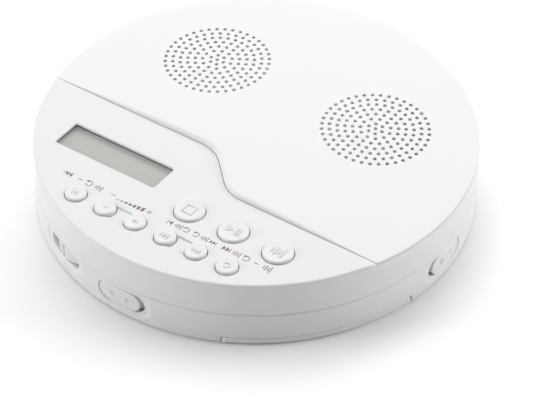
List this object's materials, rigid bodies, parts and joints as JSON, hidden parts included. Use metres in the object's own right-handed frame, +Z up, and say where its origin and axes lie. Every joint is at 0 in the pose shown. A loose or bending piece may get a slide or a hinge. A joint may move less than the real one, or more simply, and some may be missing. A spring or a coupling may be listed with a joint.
{
  "type": "portable cd player",
  "caption": "Round clamshell disc player with a hinged lid that carries two speaker grilles, a small display and push keys, and a base with drive, battery bay, slide switches and wheel.",
  "frame": {"origin": "centre of the round footprint, on the surface it stands on", "axes": "+Z up, -Y towards the user and the front slider, +Y at the hinge, +X to the user's right"},
  "size_m": [0.16, 0.16, 0.0296],
  "materials": {
    "casing": "smooth white",
    "panel": "smooth white",
    "keys": "satin white",
    "display_clear": "clear flat acrylic",
    "display_cell": "grey-green reflective display",
    "deck": "fine matt light grey",
    "turntable": "matt dark grey",
    "steel": "bright ground steel",
    "zinc": "dull zinc plate",
    "cone": "black speaker paper",
    "basket": "black moulded basket",
    "board": "green board laminate",
    "black_plastic": "matt black",
    "rubber": "grey rubber",
    "cell": "plain printed can",
    "contact": "nickel plated spring strip",
    "gear": "natural acetal",
    "pickup": "dark die-cast carriage",
    "lens": "small clear lens"
  },
  "bodies": {
    "base": {"lower_shell": "casing", "disc_deck": "deck", "hinge_pin": "steel", "base_screws": "steel", "feet": "rubber", "battery_cell_inner": "cell", "battery_cell_outer": "cell", "battery_contacts": "contact", "hold_switch": "black_plastic", "lid_switch": "black_plastic", "volume_pot": "black_plastic", "headphone_jack": "black_plastic", "power_socket": "steel", "main_board": "board", "board_chips": "black_plastic", "drive_chassis": "black_plastic", "chassis_dampers": "rubber", "spindle_motor": "zinc", "guide_rod_left": "steel", "guide_rod_right": "steel", "sled_motor": "zinc"},
    "lid": {"upper_shell": "casing", "speaker_panel": "panel", "lid_liner": "deck", "display_lens": "display_clear", "display_module": "black_plastic", "display_glass": "display_cell", "key_board": "board", "switch_domes": "contact", "lid_hook": "casing", "lid_screws": "steel", "speaker_frame_left": "basket", "speaker_frame_right": "basket", "speaker_cone_left": "cone", "speaker_cone_right": "cone", "speaker_magnet_left": "zinc", "speaker_magnet_right": "zinc"},
    "open_slider": {"open_slider": "keys"},
    "hold_slider": {"hold_slider": "keys"},
    "volume_wheel": {"volume_wheel": "keys"},
    "battery_door": {"battery_door": "casing"},
    "spindle": {"turntable": "turntable", "spindle_shaft": "steel", "hub_pawls": "gear"},
    "lead_screw": {"lead_screw": "steel", "screw_gear": "gear"},
    "pinion": {"motor_pinion": "gear"},
    "sled": {"pickup_sled": "pickup", "lens_actuator": "black_plastic", "feed_nut": "gear"},
    "lens": {"pickup_lens": "lens"},
    "key_repeat": {"key_repeat": "keys"},
    "key_slower": {"key_slower": "keys"},
    "key_faster": {"key_faster": "keys"},
    "key_previous": {"key_previous": "keys"},
    "key_next": {"key_next": "keys"},
    "key_skip": {"key_skip": "keys"},
    "key_stop": {"key_stop": "keys"},
    "key_play": {"key_play": "keys"},
    "key_mode": {"key_mode": "keys"}
  },
  "joints": [
    {"name": "lid_hinge", "type": "hinge", "parent": "base", "child": "lid", "pos_m": [0, 0.077, 0.014], "axis": [-1, 0, 0], "range_deg": [0, 70]},
    {"name": "open_slide", "type": "slide", "parent": "base", "child": "open_slider", "axis": [1, 0, 0], "range_m": [0, 0.0016], "stiffness_N_per_m": 300, "springref_m": -0.001},
    {"name": "hold_slide", "type": "slide", "parent": "base", "child": "hold_slider", "axis": [0, -1, 0], "range_m": [0, 0.0016]},
    {"name": "volume_turn", "type": "hinge", "parent": "base", "child": "volume_wheel", "pos_m": [-0.02616, -0.06239, 0.0094], "axis": [0, 0, 1], "range_deg": [-150, 150]},
    {"name": "battery_door_slide", "type": "slide", "parent": "base", "child": "battery_door", "axis": [0.7842, -0.6205, 0], "range_m": [0, 0.042]},
    {"name": "spindle_spin", "type": "hinge", "parent": "base", "child": "spindle", "pos_m": [0, 0, 0.0176], "axis": [0, 0, 1], "continuous": true},
    {"name": "lead_screw_spin", "type": "hinge", "parent": "base", "child": "lead_screw", "pos_m": [0.0192, 0.04, 0.0114], "axis": [0, 1, 0], "range_deg": [0, 2882]},
    {"name": "pinion_spin", "type": "hinge", "parent": "base", "child": "pinion", "pos_m": [0.0252, 0.008, 0.0114], "axis": [0, 1, 0], "range_deg": [-5765, 5]},
    {"name": "sled_slide", "type": "slide", "parent": "base", "child": "sled", "axis": [0, 1, 0], "range_m": [0, 0.032]},
    {"name": "lens_focus", "type": "slide", "parent": "sled", "child": "lens", "axis": [0, 0, 1], "range_m": [-0.0004, 0.0006], "stiffness_N_per_m": 30},
    {"name": "key_repeat_press", "type": "slide", "parent": "lid", "child": "key_repeat", "axis": [0, 0, -1], "range_m": [0, 0.0006], "stiffness_N_per_m": 300, "springref_m": -0.0005},
    {"name": "key_slower_press", "type": "slide", "parent": "lid", "child": "key_slower", "axis": [0, 0, -1], "range_m": [0, 0.0006], "stiffness_N_per_m": 300, "springref_m": -0.0005},
    {"name": "key_faster_press", "type": "slide", "parent": "lid", "child": "key_faster", "axis": [0, 0, -1], "range_m": [0, 0.0006], "stiffness_N_per_m": 300, "springref_m": -0.0005},
    {"name": "key_previous_press", "type": "slide", "parent": "lid", "child": "key_previous", "axis": [0, 0, -1], "range_m": [0, 0.0006], "stiffness_N_per_m": 300, "springref_m": -0.0005},
    {"name": "key_next_press", "type": "slide", "parent": "lid", "child": "key_next", "axis": [0, 0, -1], "range_m": [0, 0.0006], "stiffness_N_per_m": 300, "springref_m": -0.0005},
    {"name": "key_skip_press", "type": "slide", "parent": "lid", "child": "key_skip", "axis": [0, 0, -1], "range_m": [0, 0.0006], "stiffness_N_per_m": 300, "springref_m": -0.0005},
    {"name": "key_stop_press", "type": "slide", "parent": "lid", "child": "key_stop", "axis": [0, 0, -1], "range_m": [0, 0.0006], "stiffness_N_per_m": 300, "springref_m": -0.0005},
    {"name": "key_play_press", "type": "slide", "parent": "lid", "child": "key_play", "axis": [0, 0, -1], "range_m": [0, 0.0006], "stiffness_N_per_m": 300, "springref_m": -0.0005},
    {"name": "key_mode_press", "type": "slide", "parent": "lid", "child": "key_mode", "axis": [0, 0, -1], "range_m": [0, 0.0006], "stiffness_N_per_m": 300, "springref_m": -0.0005}
  ],
  "couplings": [
    {"joint": "lead_screw_spin", "follows": "sled_slide", "rad_per_m": 1570.8},
    {"joint": "pinion_spin", "follows": "sled_slide", "rad_per_m": -3141.6}
  ]
}
